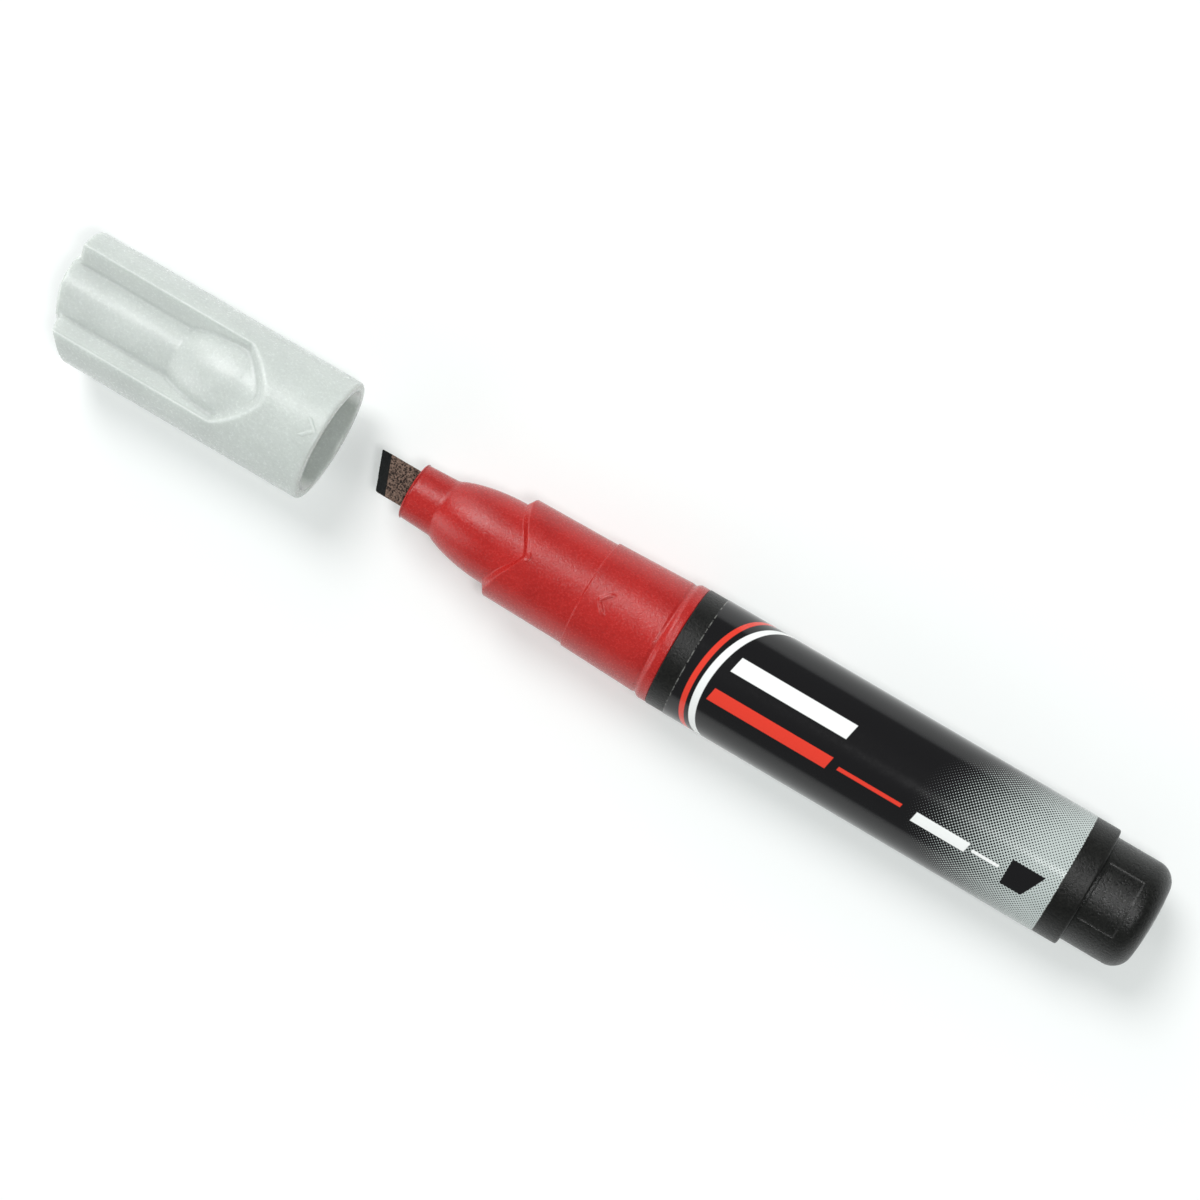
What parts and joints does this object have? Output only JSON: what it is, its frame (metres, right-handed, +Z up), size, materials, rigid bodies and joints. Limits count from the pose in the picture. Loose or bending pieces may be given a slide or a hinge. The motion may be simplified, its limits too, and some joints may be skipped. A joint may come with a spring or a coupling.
{
  "type": "felt tip marker",
  "caption": "Large chisel-nib permanent marker with a tubular barrel, a tapered nib holder and a translucent pull-off cap with finger channels.",
  "frame": {"origin": "on the table, under the middle of the marker and its pulled-off cap together", "axes": "+X along the marker's axis from the nib to the end plug, +Z up through the wide face of the nib"},
  "size_m": [0.1642, 0.0174, 0.0175],
  "materials": {
    "black_barrel": "satin",
    "printed_film": "glossy printed film",
    "red_plastic": "satin",
    "felt": "ink-soaked felt",
    "ink_fibre": "bonded fibre",
    "clear_film": "thin clear film",
    "black_plug": "satin",
    "milky_plastic": "natural translucent"
  },
  "bodies": {
    "marker": {"barrel": "black_barrel", "label": "printed_film", "front_section": "red_plastic", "nib": "felt", "reservoir_core": "ink_fibre", "reservoir_film": "clear_film", "end_plug": "black_plug"},
    "cap": {"cap": "milky_plastic"}
  },
  "joints": [
    {"name": "cap_slide", "type": "slide", "parent": "marker", "child": "cap", "axis": [1, 0, 0], "range_m": [0, 0.0391]}
  ]
}
